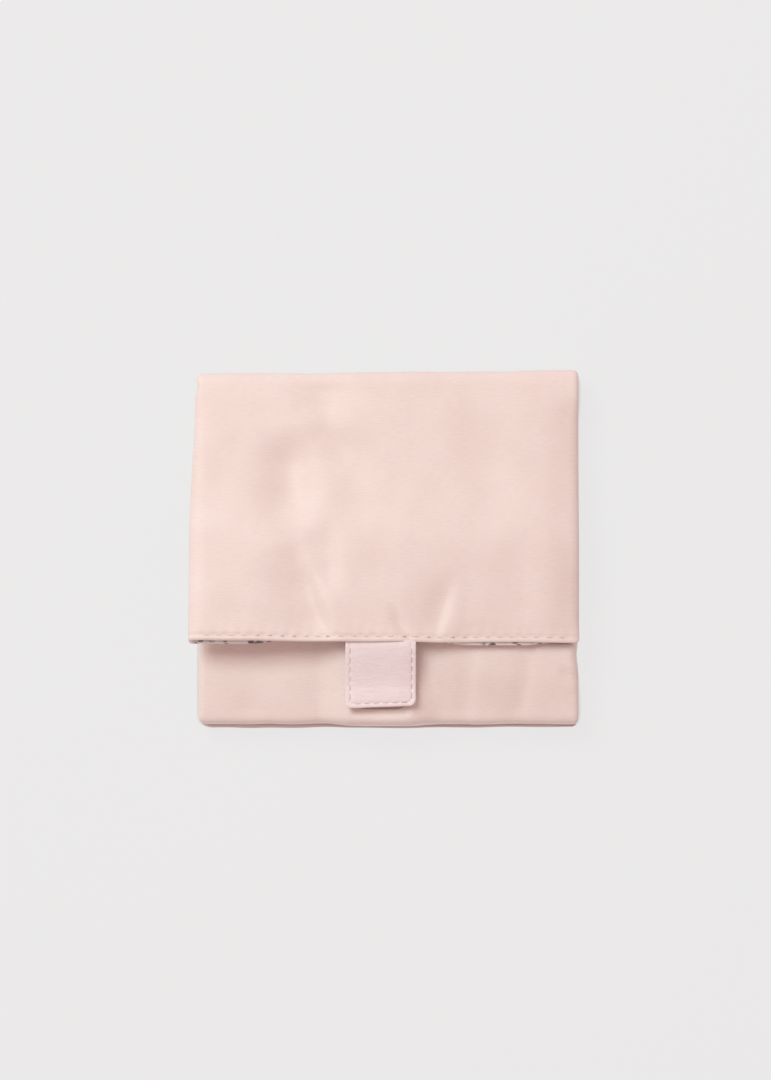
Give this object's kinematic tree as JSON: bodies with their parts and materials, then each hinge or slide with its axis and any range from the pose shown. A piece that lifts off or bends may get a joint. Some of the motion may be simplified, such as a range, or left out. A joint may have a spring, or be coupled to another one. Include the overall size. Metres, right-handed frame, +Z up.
{
  "type": "changing pad",
  "caption": "Travel changing pad of padded satin, letter-folded across and turned over lengthwise into a flat clutch with a stitched tab closure.",
  "frame": {"origin": "middle of the folded pad's footprint, on the surface that it lies on", "axes": "+X across the width to the strip's right fold, +Y from the bottom fold to the top fold, +Z up through the thickness, out of the flap's face"},
  "size_m": [0.18, 0.1646, 0.0357],
  "materials": {
    "shell_satin": "soft satin weave, slight sheen, quilted over wadding",
    "wadding": "white polyester wadding",
    "lining_print": "wipe-clean coated cotton with a small grey print",
    "tab_leather": "pale pink leather look, fine pebble grain",
    "thread": "polyester sewing thread",
    "hook_and_loop": "hook and loop tape, matte"
  },
  "bodies": {
    "back_row": {"back_shell": "shell_satin", "back_wadding": "wadding", "back_lining": "lining_print", "top_fold_shell": "shell_satin", "top_fold_wadding": "wadding", "bottom_fold_shell": "shell_satin", "bottom_fold_wadding": "wadding"},
    "flap_row": {"flap_shell": "shell_satin", "flap_wadding": "wadding", "flap_lining": "lining_print", "flap_hem_thread": "thread"},
    "front_row": {"front_shell": "shell_satin", "front_wadding": "wadding", "front_lining": "lining_print", "front_hem_thread": "thread", "loop_patch": "hook_and_loop"},
    "tab": {"tab_face": "tab_leather", "tab_backing": "tab_leather", "tab_thread": "thread", "hook_patch": "hook_and_loop"}
  },
  "joints": [
    {"name": "flap_fold", "type": "hinge", "parent": "back_row", "child": "flap_row", "pos_m": [0, 0.07225, 0.00975], "axis": [-1, 0, 0], "range_deg": [0, 172], "deforming": ["top_fold_shell", "top_fold_wadding"]},
    {"name": "front_fold", "type": "hinge", "parent": "back_row", "child": "front_row", "pos_m": [0, -0.07225, 0.00975], "axis": [1, 0, 0], "range_deg": [0, 180], "deforming": ["bottom_fold_shell", "bottom_fold_wadding"]},
    {"name": "tab_lift", "type": "hinge", "parent": "flap_row", "child": "tab", "pos_m": [0, -0.04375, 0.03373], "axis": [-1, 0, 0], "range_deg": [0, 120]}
  ],
  "couplings": [
    {"joint": "front_fold", "follows": "flap_fold", "ratio": 1.0465}
  ]
}
